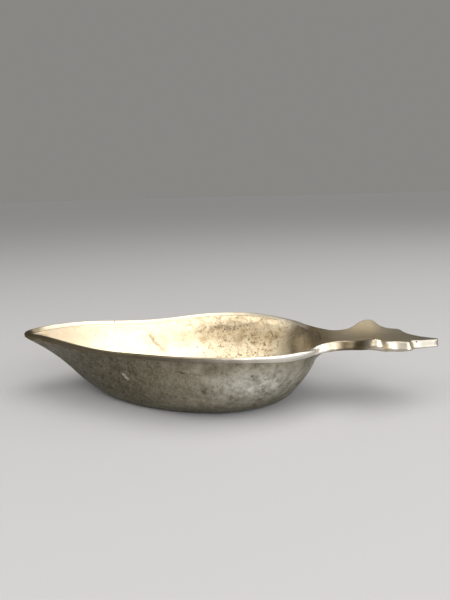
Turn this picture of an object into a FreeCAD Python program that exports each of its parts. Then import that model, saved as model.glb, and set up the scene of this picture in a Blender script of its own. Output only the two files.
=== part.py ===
import FreeCAD, Part
import math, os
from FreeCAD import Vector

# Small cast and soldered sauce boat: a thin-walled boat-shaped bowl with a
# pouring lip at -X, a drawn edge wire soldered round its mouth, and a flat
# scalloped handle at +X whose shoulders lap the bowl's flared edge.
# Millimetres, +Z up, origin at the middle of the flat underside of the bowl.

doc = FreeCAD.newDocument("sauce_boat")
sheet = doc.addObject("Spreadsheet::Sheet", "sizes")

SIZES = [
    # alias, value, what it is
    ("lip_reach", 66.0, "origin to the pouring lip's nose"),
    ("base_mid", 3.8, "X of the base outline's pole"),
    ("base_fore", 30.4, "base half length towards the lip"),
    ("base_aft", 24.4, "base half length towards the handle"),
    ("base_half", 17.6, "base half width"),
    ("wall", 1.6, "wall thickness"),
    ("floor_up", 1.9, "floor thickness"),
    ("bead_lip", 1.2, "edge wire radius at the lip"),
    ("bead_side", 0.9, "edge wire radius along the sides"),
    ("seat_drop", 0.35, "wall seat below the wire's centre, in radii"),
    ("shoulder_x", 30.0, "X where the edge wire stops and the handle's shoulders start"),
    ("plate_z", 22.3, "handle plate's top at its middle"),
    ("plate_thick", 3.3, "handle plate thickness"),
    ("tip_thick", 2.8, "handle plate thickness at its tip"),
    ("dish_rad", 40.0, "radius of the plate's shallow cross dish"),
    ("edge_rad", 1.05, "rounding of the plate's edges"),
    ("tip_x", 86.0, "origin to the handle's tip"),
    ("fillet_rad", 1.9, "solder bead radius under the neck"),
    ("blank_low", 12.0, "lower level of the blank that trims the plate's root"),
    ("blank_high", 20.0, "height of that trimming blank"),
    ("stations", 72.0, "stations round the mouth"),
]
for row, (alias, value, words) in enumerate(SIZES, start=1):
    sheet.set("A%d" % row, words)
    sheet.set("B%d" % row, "%g" % value)
    sheet.setAlias("B%d" % row, alias)
doc.recompute()
S = {alias: float(getattr(sheet, alias)) for alias, _, _ in SIZES}


# ---------------------------------------------------------------- splines
def natural(points):
    """A natural cubic spline through (x, y) points, as a function."""
    xs = [p[0] for p in points]
    ys = [p[1] for p in points]
    n = len(xs)
    a, b, c, d = [0.0] * n, [1.0] * n, [0.0] * n, [0.0] * n
    for i in range(1, n - 1):
        h0, h1 = xs[i] - xs[i - 1], xs[i + 1] - xs[i]
        a[i], b[i], c[i] = h0, 2 * (h0 + h1), h1
        d[i] = 6 * ((ys[i + 1] - ys[i]) / h1 - (ys[i] - ys[i - 1]) / h0)
    for i in range(1, n):
        m = a[i] / b[i - 1]
        b[i] -= m * c[i - 1]
        d[i] -= m * d[i - 1]
    M = [0.0] * n
    M[-1] = d[-1] / b[-1]
    for i in range(n - 2, -1, -1):
        M[i] = (d[i] - c[i] * M[i + 1]) / b[i]

    def f(x):
        x = min(max(x, xs[0]), xs[-1])
        k = 0
        while k < n - 2 and x > xs[k + 1]:
            k += 1
        h = xs[k + 1] - xs[k]
        u, v = (xs[k + 1] - x) / h, (x - xs[k]) / h
        return (u * ys[k] + v * ys[k + 1]
                + ((u ** 3 - u) * M[k] + (v ** 3 - v) * M[k + 1]) * h * h / 6)
    return f


# Mouth: half outline of the edge wire's centre line, from the lip's nose.
MOUTH = [
    (1.2, 0.0), (1.45, 1.5), (2.3, 2.95), (3.7, 4.3), (6, 5.75), (10, 7.9), (14, 10.05),
    (18, 12.15), (22, 14.1), (26, 15.85), (30, 17.4), (34, 18.85), (38, 20.25), (42, 21.6),
    (46, 23.0), (50, 24.4), (54, 25.9), (58, 27.4), (62, 28.75), (66, 29.8), (70, 30.5),
    (74, 30.85), (78, 30.85), (82, 30.5), (86, 29.8), (90, 28.65), (94, 27.0), (98, 24.8),
    (102, 21.9), (105, 19.0), (107.5, 15.9), (109.5, 12.4), (111, 8.4), (111.8, 4.3), (112.1, 0.0),
]
MOUTH = [(x - S["lip_reach"], y) for x, y in MOUTH]
# Height of the mouth's top along X.
SHEER = natural([(x - S["lip_reach"], z) for x, z in [
    (0, 23.2), (3, 23.4), (7, 23.8), (12, 24.0), (18, 23.9), (24, 23.5), (32, 22.85),
    (40, 22.5), (48, 22.6), (57, 23.05), (66, 23.5), (76, 23.7), (86, 23.6), (94, 23.25),
    (102, 22.8), (108, 22.5), (116, 22.4)]])
BEAD = natural([(x - S["lip_reach"], r) for x, r in [
    (0, S["bead_lip"]), (8, S["bead_lip"]), (22, 1.05), (40, 0.95), (60, S["bead_side"]),
    (90, S["bead_side"]), (116, S["bead_side"])]])

ring = MOUTH + [(x, -y) for x, y in MOUTH[-2:0:-1]]
mouth = Part.BSplineCurve()
mouth.interpolate(Points=[Vector(x, y, 0) for x, y in ring], PeriodicFlag=True)
T0, T1 = mouth.FirstParameter, mouth.LastParameter
# even spacing along the mouth, symmetric about the long axis
N = int(S["stations"])
edge = mouth.toShape()
LENGTH = edge.Length


def mouth_at(share):
    """Plan point and outward normal at a share 0..1 round the mouth from the nose."""
    u = mouth.parameterAtDistance(LENGTH * (share % 1.0), T0) if share % 1.0 else T0
    p = mouth.value(u)
    t = mouth.tangent(u)[0]
    n = Vector(-t.y, t.x, 0)          # run goes lip, +Y side, handle, -Y side
    if n.dot(Vector(p.x - S["base_mid"], p.y, 0)) < 0:
        n = n * -1
    return p, n


# ---------------------------------------------------------------- outer wall
LIP_Q = (0.0, 0.240, 0.432, 0.587, 0.817, 1.0)
SIDE_Q = (0.0, 0.175, 0.586, 0.845, 0.850, 1.0)
END_Q = (0.0, 0.314, 0.525, 0.846, 0.928, 1.0)
LIP_W = (0.0, 0.0, 0.22, 0.55, 0.85, 1.0)
SIDE_W = (0.0, 0.0, 0.224, 0.593, 0.893, 1.0)
KNOTS, MULTS = [0.0, 1 / 3, 2 / 3, 1.0], [4, 1, 1, 4]


def basis(t, n=6):
    """The cubic B-spline basis with n poles on a clamped even knot line."""
    inner = n - 4
    k = [0.0] * 4 + [(i + 1) / (inner + 1) for i in range(inner)] + [1.0] * 4
    N_ = [0.0] * (n + 3)
    if t >= 1.0:
        out = [0.0] * n
        out[-1] = 1.0
        return out
    for i in range(n + 3):
        N_[i] = 1.0 if k[i] <= t < k[i + 1] else 0.0
    for p in range(1, 4):
        for i in range(n + 3 - p):
            a = (t - k[i]) / (k[i + p] - k[i]) * N_[i] if k[i + p] > k[i] else 0.0
            b = (k[i + p + 1] - t) / (k[i + p + 1] - k[i + 1]) * N_[i + 1] if k[i + p + 1] > k[i + 1] else 0.0
            N_[i] = a + b
    return N_[:n]


def greville(n=6):
    inner = n - 4
    k = [0.0] * 4 + [(i + 1) / (inner + 1) for i in range(inner)] + [1.0] * 4
    return [(k[i + 1] + k[i + 2] + k[i + 3]) / 3 for i in range(n)]


def solve(A, rows):
    """Gauss elimination, rows of Vector on the right."""
    n = len(A)
    A = [list(r) for r in A]
    B = [Vector(v) for v in rows]
    for i in range(n):
        p = max(range(i, n), key=lambda r: abs(A[r][i]))
        A[i], A[p], B[i], B[p] = A[p], A[i], B[p], B[i]
        for r in range(n):
            if r != i and A[r][i]:
                m = A[r][i] / A[i][i]
                A[r] = [x - m * y for x, y in zip(A[r], A[i])]
                B[r] = B[r] - B[i] * m
    return [B[i] * (1 / A[i][i]) for i in range(n)]


def wall_poles(share):
    """The six poles of the outer wall's profile at a share round the mouth, and the seat's two points."""
    p, n = mouth_at(share)
    r = BEAD(p.x)
    top = SHEER(p.x)
    chord = math.sqrt(1 - S["seat_drop"] ** 2) * r
    seat_z = top - r - S["seat_drop"] * r
    out = Vector(p.x + n.x * chord, p.y + n.y * chord, seat_z)
    inn = Vector(p.x - n.x * chord, p.y - n.y * chord, seat_z)
    ph = math.atan2(p.y, p.x - S["base_mid"])
    a = S["base_fore"] if math.cos(ph) < 0 else S["base_aft"]
    rb = 1 / math.sqrt((math.cos(ph) / a) ** 2 + (math.sin(ph) / S["base_half"]) ** 2)
    base = Vector(S["base_mid"] + rb * math.cos(ph), rb * math.sin(ph), 0)
    c = math.cos(ph)
    wl, wh, ws = (c * c if c < 0 else 0.0), (c * c if c > 0 else 0.0), 1 - c * c
    poles = []
    for j in range(6):
        q = wl * LIP_Q[j] + ws * SIDE_Q[j] + wh * END_Q[j]
        w = wl * LIP_W[j] + (ws + wh) * SIDE_W[j]
        poles.append(Vector(base.x + (out.x - base.x) * q, base.y + (out.y - base.y) * q, w * seat_z))
    return poles, out, inn, n, p


def at(poles, t):
    b = basis(t, len(poles))
    v = Vector(0, 0, 0)
    for w, p in zip(b, poles):
        v = v + p * w
    return v


shares = [i / N for i in range(N)]
outer = [wall_poles(s)[0] for s in shares]
seats = [wall_poles(s)[1:3] for s in shares]

# inner wall: the outer one moved in along its normal, fitted with eight poles
NI = 8
G = greville(NI)
GB = [basis(t, NI) for t in G]
inner = []
for i in range(N):
    before, after = outer[i - 1], outer[(i + 1) % N]
    pts = []
    for k, t in enumerate(G):
        p = at(outer[i], t)
        if k == 0:
            pts.append(Vector(p.x, p.y, S["floor_up"]))
            continue
        if k == NI - 1:
            pts.append(seats[i][1])
            continue
        du = at(after, t) - at(before, t)
        dv = at(outer[i], min(1, t + 0.01)) - at(outer[i], max(0, t - 0.01))
        m = du.cross(dv)
        m.normalize()
        mid = Vector(S["base_mid"], 0, 40)
        if m.dot(mid - p) < 0:
            m = m * -1
        seat_gap = (seats[i][0] - seats[i][1]).Length
        th = S["wall"] if t < 0.7 else S["wall"] + (seat_gap - S["wall"]) * ((t - 0.7) / 0.3) ** 2
        th = th + (S["floor_up"] - S["wall"]) * max(0.0, 1 - t / 0.3)
        pts.append(p + m * th)
    inner.append(solve(GB, pts))


def closed_surface(columns, vk, vm, vdeg=3):
    """A periodic surface through one column of poles per station."""
    curves = []
    for j in range(len(columns[0])):
        c = Part.BSplineCurve()
        c.interpolate(Points=[col[j] for col in columns], PeriodicFlag=True,
                      Parameters=[float(i) for i in range(N + 1)])
        curves.append(c)
    grid = [list(r) for r in zip(*[c.getPoles() for c in curves])]
    s = Part.BSplineSurface()
    s.buildFromPolesMultsKnots(grid, curves[0].getMultiplicities(), vm,
                               curves[0].getKnots(), vk, True, False, 3, vdeg)
    return s, curves


def knots(n):
    inner_ = n - 4
    return [0.0] + [(i + 1) / (inner_ + 1) for i in range(inner_)] + [1.0], [4] + [1] * inner_ + [4]


def to_solid(faces, name):
    shell = Part.makeShell(faces)
    sewn = Part.Compound(faces)
    sewn.sewShape(1e-4)
    shell = sewn.Shells[0] if sewn.Shells else shell
    solid = Part.Solid(shell)
    if not solid.isValid():
        solid.fix(1e-4, 1e-4, 1e-3)
    if solid.Volume < 0:
        solid.reverse()
    if not solid.isValid() or solid.Volume <= 0 or not shell.isClosed():
        raise SystemExit("%s: solid valid %s closed %s volume %s" % (name, solid.isValid(), shell.isClosed(), solid.Volume))
    return solid


so, co = closed_surface(outer, *knots(6))
si, ci = closed_surface(inner, *knots(NI))
seat = Part.BSplineSurface()
seat.buildFromPolesMultsKnots([[a, b] for a, b in zip(co[-1].getPoles(), ci[-1].getPoles())],
                              co[-1].getMultiplicities(), [2, 2], co[-1].getKnots(), [0.0, 1.0], True, False, 3, 1)
under = Part.Face(Part.Wire([co[0].toShape()]))
floor = Part.Face(Part.Wire([ci[0].toShape()]))
bowl_shape = to_solid([so.toShape(), si.toShape(), seat.toShape(), under, floor], "bowl")


def part_feature(name, shape):
    f = doc.addObject("Part::Feature", name)
    f.Label = name
    f.Shape = shape
    return f


bowl = part_feature("bowl", bowl_shape)


# ---------------------------------------------------------------- edge wire and handle shoulders
def open_surface(columns, vk, vm, vdeg=3):
    curves = []
    n = len(columns)
    for j in range(len(columns[0])):
        c = Part.BSplineCurve()
        c.interpolate(Points=[col[j] for col in columns], Parameters=[float(i) for i in range(n)])
        curves.append(c)
    grid = [list(r) for r in zip(*[c.getPoles() for c in curves])]
    s = Part.BSplineSurface()
    s.buildFromPolesMultsKnots(grid, curves[0].getMultiplicities(), vm,
                               curves[0].getKnots(), vk, False, False, 3, vdeg)
    return s, curves


def share_at_x(x):
    """Share round the mouth, on the +Y side, where the wire's centre passes X."""
    lo, hi = 0.25, 0.5
    for _ in range(50):
        m = (lo + hi) / 2
        if mouth_at(m)[0].x < x:
            lo = m
        else:
            hi = m
    return (lo + hi) / 2


END = share_at_x(S["shoulder_x"])
NB = 9
GBB = [basis(t, NB) for t in greville(NB)]


def bead_poles(share):
    """Round section of the edge wire, from the seat's outer point over the top to its inner point."""
    poles, out, inn, n, p = wall_poles(share)
    r = BEAD(p.x)
    zc = SHEER(p.x) - r
    a0 = -math.asin(S["seat_drop"])
    a1 = math.pi - a0
    pts = []
    for t in greville(NB):
        a = a0 + (a1 - a0) * t
        pts.append(Vector(p.x + n.x * r * math.cos(a), p.y + n.y * r * math.cos(a), zc + r * math.sin(a)))
    pts[0], pts[-1] = out, inn
    return solve(GBB, pts)


def cap(curve_pts, deg, mult, kn, a, b):
    c = Part.BSplineCurve()
    c.buildFromPolesMultsKnots(curve_pts, mult, kn, False, deg)
    return Part.Face(Part.Wire([c.toShape(), Part.makeLine(b, a)]))


def wire_solid():
    n = 60
    ss = [-END + 2 * END * i / n for i in range(n + 1)]
    cols = [bead_poles(s) for s in ss]
    vk, vm = knots(NB)
    s, cs = open_surface(cols, vk, vm)
    bot = Part.BSplineSurface()
    bot.buildFromPolesMultsKnots([[a, b] for a, b in zip(cs[0].getPoles(), cs[-1].getPoles())],
                                 cs[0].getMultiplicities(), [2, 2], cs[0].getKnots(), [0.0, 1.0], False, False, 3, 1)
    caps = [cap(c, 3, vm, vk, c[0], c[-1]) for c in (cols[0], cols[-1])]
    return to_solid([s.toShape(), bot.toShape()] + caps, "rim_wire")


rim = part_feature("rim_wire", wire_solid())

# Shoulders: a thicker band that laps the flared edge and grows towards the neck.
DEPTH = natural([(30, 1.9), (34, 2.15), (38, 2.55), (42, 2.95), (47, 3.3)])
REACH = natural([(30, 0.95), (34, 1.05), (38, 1.2), (42, 1.4), (47, 1.5)])
NA = 12


def shoulder_section(share):
    """Closed squarish ring of points: from the seat's inner edge to past the wall's outer face."""
    poles, out, inn, n, p = wall_poles(share)
    r = BEAD(p.x)
    top = SHEER(p.x)
    chord = math.sqrt(1 - S["seat_drop"] ** 2) * r - 0.03
    d, e = DEPTH(p.x), REACH(p.x)
    am, ah = (e - chord) / 2, (e + chord) / 2
    zm, zh = top - d / 2, d / 2
    ring_ = []
    for k in range(NA):
        a = 2 * math.pi * k / NA
        ca, sa = math.cos(a), math.sin(a)
        f = (abs(ca) ** 2.6 + abs(sa) ** 2.6) ** (-1 / 2.6)
        ring_.append(Vector(p.x + n.x * (am + ah * ca * f), p.y + n.y * (am + ah * ca * f), zm + zh * sa * f))
    return ring_


def ring_wire(pts):
    c = Part.BSplineCurve()
    c.interpolate(Points=pts, PeriodicFlag=True)
    return Part.Wire([c.toShape()])


ns = 24
arm_shares = [END + (1 - 2 * END) * i / ns for i in range(ns + 1)]
arm = part_feature("handle_shoulders", Part.makeLoft([ring_wire(shoulder_section(q)) for q in arm_shares], True, False))

# Plate: one closed rounded section per station along X, as wide as the
# scalloped outline there, dished on top and thinning a little to its tip.
EDGE = [(109.5, 12.4), (110.9, 12.3), (112.4, 11.45), (114, 10.2), (115.5, 8.95), (117, 8.25), (118.7, 8.1),
        (120.5, 8.4), (122.2, 9.1), (124, 10.45), (126, 12.3), (127.6, 13.5), (129.2, 14.3), (130.7, 14.7),
        (132.1, 14.2), (133.2, 12.7), (134.3, 11.05), (135.6, 9.75), (137, 9.15), (138.6, 9.2), (140.1, 9.35),
        (141.3, 8.8), (141.9, 7.4), (142.35, 5.9), (143.2, 4.95), (144.8, 4.4), (147, 3.35), (149.3, 2.25),
        (150.9, 1.4), (151.7, 0.85), (152, 0.55)]
EDGE = [(x - S["lip_reach"], y) for x, y in EDGE]
CREST = natural([(x - S["lip_reach"], z + S["plate_z"] - 22.3) for x, z in [
    (106, 22.4), (112, 22.35), (116, 22.1), (120, 22.1), (125, 22.3), (130, 22.5), (136, 22.4), (142, 22.25),
    (148, 22.05), (154, 21.85)]])
DISH = natural([(x - S["lip_reach"], k * 0.5 / S["dish_rad"]) for x, k in [
    (106, 0.0), (111, 0.05), (114, 0.35), (118, 0.8), (122, 1.0), (128, 1.0), (140, 1.0), (154, 1.0)]])
THICK = natural([(40, S["plate_thick"]), (62, S["plate_thick"]), (76, (S["plate_thick"] + S["tip_thick"]) / 2),
                 (S["tip_x"], S["tip_thick"] - 0.1), (S["tip_x"] + 4, S["tip_thick"] - 0.2)])


def plate_section(x, w):
    """Closed ring of points in the plane X = x: along the top, round the edge, back below."""
    t = THICK(x)
    r = S["edge_rad"]
    flat = max(w - r, w * 0.25)
    r = w - flat
    e = min(S["edge_rad"], t / 2 - 0.05)
    half = [(0.0, 0.0), (0.35 * flat, 0.0), (0.7 * flat, 0.0), (flat, 0.0), (flat + 0.5 * r, 0.134 * e),
            (flat + 0.866 * r, 0.5 * e), (w, e), (w, t - e), (flat + 0.866 * r, t - 0.5 * e),
            (flat + 0.5 * r, t - 0.134 * e), (flat, t), (0.7 * flat, t), (0.35 * flat, t), (0.0, t)]
    pts = half + [(-y, d) for y, d in half[-2:0:-1]]
    return [Vector(x, y, CREST(x) + DISH(x) * y * y - d) for y, d in pts]


def plate_solid():
    rings = [plate_section(x, w) for x, w in EDGE]
    m = len(rings[0])
    loops = []
    for ring_ in rings:
        c = Part.BSplineCurve()
        c.interpolate(Points=ring_, PeriodicFlag=True, Parameters=[float(i) for i in range(m + 1)])
        loops.append(c)
    par = [0.0]
    for (x0, y0), (x1, y1) in zip(EDGE, EDGE[1:]):
        par.append(par[-1] + math.hypot(x1 - x0, y1 - y0))
    rows = []
    for j in range(len(loops[0].getPoles())):
        c = Part.BSplineCurve()
        c.interpolate(Points=[q.getPoles()[j] for q in loops], Parameters=par)
        rows.append(c)
    f = Part.BSplineSurface()
    f.buildFromPolesMultsKnots([q.getPoles() for q in rows], loops[0].getMultiplicities(), rows[0].getMultiplicities(),
                               loops[0].getKnots(), rows[0].getKnots(), True, False, 3, 3)
    ends = [Part.Face(Part.Wire([loops[i].toShape()])) for i in (0, -1)]
    return to_solid([f.toShape()] + ends, "handle_plate")


plate = part_feature("handle_plate", plate_solid())

# the mouth itself, as a blank that trims the plate's root
body = doc.addObject("PartDesign::Body", "mouth_blank")
planes = {f.Role: f for f in body.Origin.OriginFeatures}
outline = body.newObject("Sketcher::SketchObject", "mouth_line")
outline.AttachmentSupport = (planes["XY_Plane"], [""])
outline.MapMode = "FlatFace"
outline.setExpression(".AttachmentOffset.Base.z", "sizes.blank_low * 1 mm")
outline.addGeometry(mouth, False)
doc.recompute()
pad = body.newObject("PartDesign::Pad", "mouth_pad")
pad.Profile = outline
pad.setExpression("Length", "sizes.blank_high")
doc.recompute()
trimmed = doc.addObject("Part::Cut", "plate_trimmed")
trimmed.Base, trimmed.Tool = plate, body
doc.recompute()
fused = doc.addObject("Part::Fuse", "handle_whole")
fused.Base, fused.Tool = trimmed, arm
doc.recompute()
handle = doc.addObject("Part::Cut", "handle")
handle.Base, handle.Tool = fused, bowl
doc.recompute()

# Solder: a concave bead run along the corner between the wall and the
# handle's underside, fullest at the neck and dying away to each side.
def solder_section(share, size):
    """Three columns of points: down the wall, across the concave face, back under the handle."""
    poles, out, inn, n, p = wall_poles(share)
    reach = size * 1.05
    under_z = min(SHEER(p.x) - DEPTH(p.x), CREST(p.x + reach) - THICK(p.x)) - 0.03

    def wall_at(z):
        lo, hi = 0.3, 1.0
        for _ in range(45):
            m = (lo + hi) / 2
            if at(poles, m).z < z:
                lo = m
            else:
                hi = m
        v = at(poles, lo)
        along = Vector(-n.y, n.x, 0)
        return v - along * (v - p).dot(along) + n * 0.02
    c = wall_at(under_z)
    c.z = under_z
    down = [wall_at(under_z - size * k / 5) for k in range(6)]
    down[0] = c
    tip = c + n * reach
    low = down[-1]
    face = []
    for k in range(7):
        u = k / 6
        mid = c + n * (reach * 0.30) + Vector(0, 0, -size * 0.30)
        face.append(low * ((1 - u) ** 2) + mid * (2 * u * (1 - u)) + tip * (u * u))
    return down, face, [tip, c]


def three_sided(down, face, back):
    """The closed wire round one section of the bead."""
    a, b = Part.BSplineCurve(), Part.BSplineCurve()
    a.interpolate(Points=down)
    b.interpolate(Points=face)
    return Part.Wire([a.toShape(), b.toShape(), Part.makeLine(back[0], back[1])])


ms = 20
cuts = []
for i in range(ms + 1):
    g = math.sin(math.pi * i / ms)
    cuts.append(three_sided(*solder_section(0.438 + 0.124 * i / ms, 0.5 + (S["fillet_rad"] - 0.5) * g ** 0.8)))
solder = part_feature("handle_solder_fillet", Part.makeLoft(cuts, True, False))

# ---------------------------------------------------------------- write the pieces
os.makedirs("parts", exist_ok=True)
pieces = {"bowl": bowl, "rim_wire": rim, "handle": handle, "handle_solder_fillet": solder}
for name, piece in pieces.items():
    piece.Label = name
doc.recompute()
for o in doc.Objects:
    if {"Invalid", "Error"} & set(o.State):
        raise SystemExit("%s failed: %s" % (o.Name, o.State))
for name, piece in pieces.items():
    sh = piece.Shape
    if sh.isNull() or not sh.isValid() or len(sh.Solids) != 1 or sh.Volume <= 0:
        raise SystemExit("%s: no valid single solid" % name)
for name, piece in pieces.items():
    piece.Shape.exportStep("parts/%s.step" % name)
    b = piece.Shape.BoundBox
    print("%-22s %8.1f mm3  x %.2f..%.2f  y %.2f..%.2f  z %.2f..%.2f" % (
        name, piece.Shape.Volume, b.XMin, b.XMax, b.YMin, b.YMax, b.ZMin, b.ZMax))
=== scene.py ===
import math

import bmesh
import bpy
import numpy as np
from mathutils import Matrix, Vector


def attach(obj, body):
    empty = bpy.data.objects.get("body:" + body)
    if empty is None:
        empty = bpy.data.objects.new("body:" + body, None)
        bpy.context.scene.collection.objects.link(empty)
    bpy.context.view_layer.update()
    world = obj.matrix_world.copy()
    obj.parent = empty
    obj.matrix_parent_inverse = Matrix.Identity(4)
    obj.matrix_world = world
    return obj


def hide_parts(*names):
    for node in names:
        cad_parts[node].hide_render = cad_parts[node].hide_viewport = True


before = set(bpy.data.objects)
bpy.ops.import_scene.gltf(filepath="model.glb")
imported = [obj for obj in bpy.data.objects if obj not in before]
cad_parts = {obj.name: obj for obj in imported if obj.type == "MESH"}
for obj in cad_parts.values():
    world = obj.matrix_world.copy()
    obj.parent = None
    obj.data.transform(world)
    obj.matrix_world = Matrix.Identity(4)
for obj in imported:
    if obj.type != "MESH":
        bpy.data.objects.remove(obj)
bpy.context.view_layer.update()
MM = 0.001

# ------------------------------------------------------------------ curves
LIP = 66.0  # origin to the lip's nose, mm


class Natural:
    """Natural cubic spline through points (x, y)."""

    def __init__(self, pts):
        self.x = np.array([p[0] for p in pts], float)
        self.y = np.array([p[1] for p in pts], float)
        n = len(self.x)
        A = np.eye(n)
        d = np.zeros(n)
        for i in range(1, n - 1):
            h0, h1 = self.x[i] - self.x[i - 1], self.x[i + 1] - self.x[i]
            A[i, i - 1:i + 2] = h0, 2 * (h0 + h1), h1
            d[i] = 6 * ((self.y[i + 1] - self.y[i]) / h1 - (self.y[i] - self.y[i - 1]) / h0)
        self.m = np.linalg.solve(A, d)

    def __call__(self, v):
        v = np.clip(np.asarray(v, float), self.x[0], self.x[-1])
        k = np.clip(np.searchsorted(self.x, v) - 1, 0, len(self.x) - 2)
        h = self.x[k + 1] - self.x[k]
        a, b = (self.x[k + 1] - v) / h, (v - self.x[k]) / h
        return (a * self.y[k] + b * self.y[k + 1]
                + ((a ** 3 - a) * self.m[k] + (b ** 3 - b) * self.m[k + 1]) * h * h / 6)


MOUTH = [
    (1.2, 0.0), (1.45, 1.5), (2.3, 2.95), (3.7, 4.3), (6, 5.75), (10, 7.9), (14, 10.05),
    (18, 12.15), (22, 14.1), (26, 15.85), (30, 17.4), (34, 18.85), (38, 20.25), (42, 21.6),
    (46, 23.0), (50, 24.4), (54, 25.9), (58, 27.4), (62, 28.75), (66, 29.8), (70, 30.5),
    (74, 30.85), (78, 30.85), (82, 30.5), (86, 29.8), (90, 28.65), (94, 27.0), (98, 24.8),
    (102, 21.9), (105, 19.0), (107.5, 15.9), (109.5, 12.4), (111, 8.4), (111.8, 4.3), (112.1, 0.0)]
MOUTH = [(x - LIP, y) for x, y in MOUTH]


def shifted(pts):
    return Natural([(x - LIP, z) for x, z in pts])


SHEER = shifted([(0, 23.2), (3, 23.4), (7, 23.8), (12, 24.0), (18, 23.9), (24, 23.5), (32, 22.85),
                 (40, 22.5), (48, 22.6), (57, 23.05), (66, 23.5), (76, 23.7), (86, 23.6), (94, 23.25),
                 (102, 22.8), (108, 22.5), (116, 22.4)])
BEAD = shifted([(0, 1.2), (8, 1.2), (22, 1.05), (40, 0.95), (60, 0.9), (90, 0.9), (116, 0.9)])
BASE_MID, BASE_FORE, BASE_AFT, BASE_HALF = 3.8, 30.4, 24.4, 17.6

LIP_Q = (0.0, 0.240, 0.432, 0.587, 0.817, 1.0)
SIDE_Q = (0.0, 0.175, 0.586, 0.845, 0.850, 1.0)
END_Q = (0.0, 0.314, 0.525, 0.846, 0.928, 1.0)
LIP_W = (0.0, 0.0, 0.22, 0.55, 0.85, 1.0)
SIDE_W = (0.0, 0.0, 0.224, 0.593, 0.893, 1.0)


def mouth_line(n):
    """n points and outward normals evenly spaced round the mouth, lip first, then +Y, handle, -Y."""
    ring = MOUTH + [(x, -y) for x, y in MOUTH[-2:0:-1]]
    P = np.array(ring, float)
    d = np.r_[0, np.cumsum(np.hypot(*np.diff(np.vstack([P, P[:1]]), axis=0).T))]
    m = len(P)
    reps = 3
    t = np.concatenate([d[:-1] + k * d[-1] for k in range(reps)] + [[reps * d[-1]]])
    X = np.r_[np.tile(P[:, 0], reps), P[0, 0]]
    Y = np.r_[np.tile(P[:, 1], reps), P[0, 1]]
    fx, fy = Natural(list(zip(t, X))), Natural(list(zip(t, Y)))
    u = np.linspace(d[-1], 2 * d[-1], n * 8 + 1)
    L = np.r_[0, np.cumsum(np.hypot(np.diff(fx(u)), np.diff(fy(u))))]
    uu = np.interp(np.linspace(0, L[-1], n + 1)[:-1], L, u)
    e = 0.02
    px, py = fx(uu), fy(uu)
    tx, ty = fx(uu + e) - fx(uu - e), fy(uu + e) - fy(uu - e)
    q = np.hypot(tx, ty)
    nx, ny = -ty / q, tx / q
    s = np.sign(nx * (px - BASE_MID) + ny * py)
    return px, py, nx * s, ny * s, L[-1]


def bspline(t, n=6):
    """Basis values (len(t), n) of the clamped even cubic B-spline."""
    inner = n - 4
    k = np.r_[[0.0] * 4, (np.arange(inner) + 1) / (inner + 1), [1.0] * 4]
    t = np.clip(np.asarray(t, float), 0, 1 - 1e-12)
    N = [((k[i] <= t) & (t < k[i + 1])).astype(float) for i in range(n + 3)]
    for p in range(1, 4):
        M = []
        for i in range(n + 3 - p):
            a = (t - k[i]) / (k[i + p] - k[i]) * N[i] if k[i + p] > k[i] else 0 * t
            b = (k[i + p + 1] - t) / (k[i + p + 1] - k[i + 1]) * N[i + 1] if k[i + p + 1] > k[i + 1] else 0 * t
            M.append(a + b)
        N = M
    return np.stack(N[:n], -1)


def soft(v, lo, hi):
    t = np.clip((v - lo) / (hi - lo), 0, 1)
    return t * t * (3 - 2 * t)


# ------------------------------------------------------------------ smooth seeded waviness
def waves(seed, count, lo, hi):
    """A smooth field of a few seeded sines: f(x, y, z) of about unit size."""
    r = np.random.RandomState(seed)
    k = r.normal(size=(count, 3))
    k /= np.linalg.norm(k, axis=1)[:, None]
    k *= (2 * np.pi / r.uniform(lo, hi, count))[:, None]
    ph = r.uniform(0, 2 * np.pi, count)

    def f(P):
        return np.sin(P @ k.T + ph).sum(-1) / math.sqrt(count / 2)
    return f


SLOW = waves(11, 14, 22, 60)     # hand-finished undulation, mm wavelengths
HAMMER = waves(5, 30, 6, 14)     # casting unevenness

# ------------------------------------------------------------------ the bowl and its edge
NS = 720
px, py, nx, ny, MOUTH_LEN = mouth_line(NS)
top = SHEER(px)
r0 = BEAD(px)
ph = np.arctan2(py, px - BASE_MID)
cph = np.cos(ph)
a_ = np.where(cph < 0, BASE_FORE, BASE_AFT)
rb = 1 / np.sqrt((cph / a_) ** 2 + (np.sin(ph) / BASE_HALF) ** 2)
bx, by = BASE_MID + rb * cph, rb * np.sin(ph)
wl, wh, ws = np.where(cph < 0, cph ** 2, 0), np.where(cph > 0, cph ** 2, 0), 1 - cph ** 2
Qc = wl[:, None] * np.array(LIP_Q) + ws[:, None] * np.array(SIDE_Q) + wh[:, None] * np.array(END_Q)
Wc = wl[:, None] * np.array(LIP_W) + (ws + wh)[:, None] * np.array(SIDE_W)
chord = math.sqrt(1 - 0.35 ** 2) * r0
seat = top - 1.35 * r0
ox, oy = px + nx * chord, py + ny * chord          # outer seat point


def wall(t):
    """Outer wall points (NS, len(t), 3)."""
    B = bspline(t)
    Q, W = Qc @ B.T, Wc @ B.T
    X = bx[:, None] + (ox - bx)[:, None] * Q
    Y = by[:, None] + (oy - by)[:, None] * Q
    return np.stack([X, Y, W * seat[:, None]], -1)


def column_normals(P, closed=True):
    du = (np.roll(P, -1, 0) - np.roll(P, 1, 0)) if closed else np.gradient(P, axis=0)
    dv = np.gradient(P, axis=1)
    n = np.cross(du, dv)
    return n / np.maximum(np.linalg.norm(n, axis=-1, keepdims=True), 1e-12)


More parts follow.
